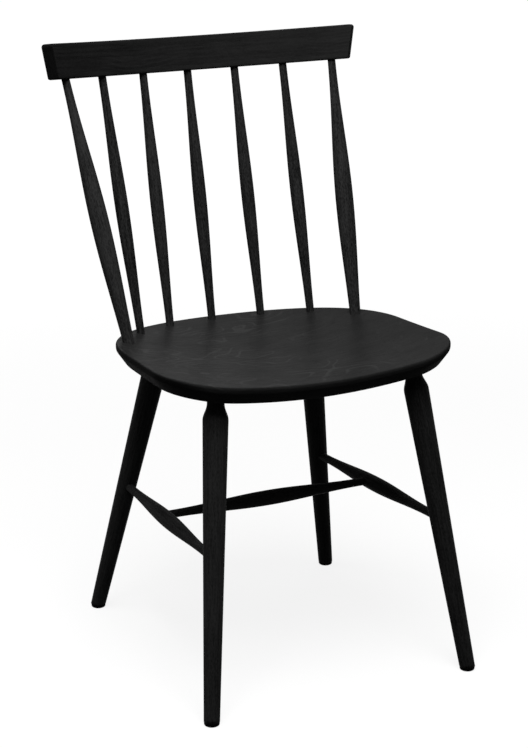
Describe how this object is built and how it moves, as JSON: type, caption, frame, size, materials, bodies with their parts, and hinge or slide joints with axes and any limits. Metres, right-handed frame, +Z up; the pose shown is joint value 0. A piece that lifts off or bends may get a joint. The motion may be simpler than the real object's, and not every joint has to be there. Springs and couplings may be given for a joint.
{
  "type": "spindle-back dining chair",
  "caption": "Wooden dining chair with a dished seat, splayed turned legs tied by an H of stretchers, and a fan of turned spindles under a bent crest rail.",
  "frame": {"origin": "on the floor, under the centre of the chair's overall box", "axes": "+Z up; the chair faces -Y; +X is towards the right-hand side as seen by someone who stands before the chair"},
  "size_m": [0.5036, 0.553, 0.8691],
  "materials": {
    "stained_wood": "satin black stain under clear lacquer, with the grain faintly visible",
    "glide_plastic": "moulded, matt black",
    "nail_steel": "plain bright steel"
  },
  "bodies": {
    "root": {"seat": "stained_wood", "crest_rail": "stained_wood", "outer_spindle_left": "stained_wood", "spindle_2": "stained_wood", "spindle_3": "stained_wood", "spindle_4": "stained_wood", "spindle_5": "stained_wood", "spindle_6": "stained_wood", "outer_spindle_right": "stained_wood", "front_leg_left": "stained_wood", "front_leg_right": "stained_wood", "back_leg_left": "stained_wood", "back_leg_right": "stained_wood", "side_stretcher_left": "stained_wood", "side_stretcher_right": "stained_wood", "cross_stretcher": "stained_wood", "glide_front_left": "glide_plastic", "glide_front_right": "glide_plastic", "glide_back_left": "glide_plastic", "glide_back_right": "glide_plastic", "glide_nail_front_left": "nail_steel", "glide_nail_front_right": "nail_steel", "glide_nail_back_left": "nail_steel", "glide_nail_back_right": "nail_steel"}
  },
  "joints": []
}
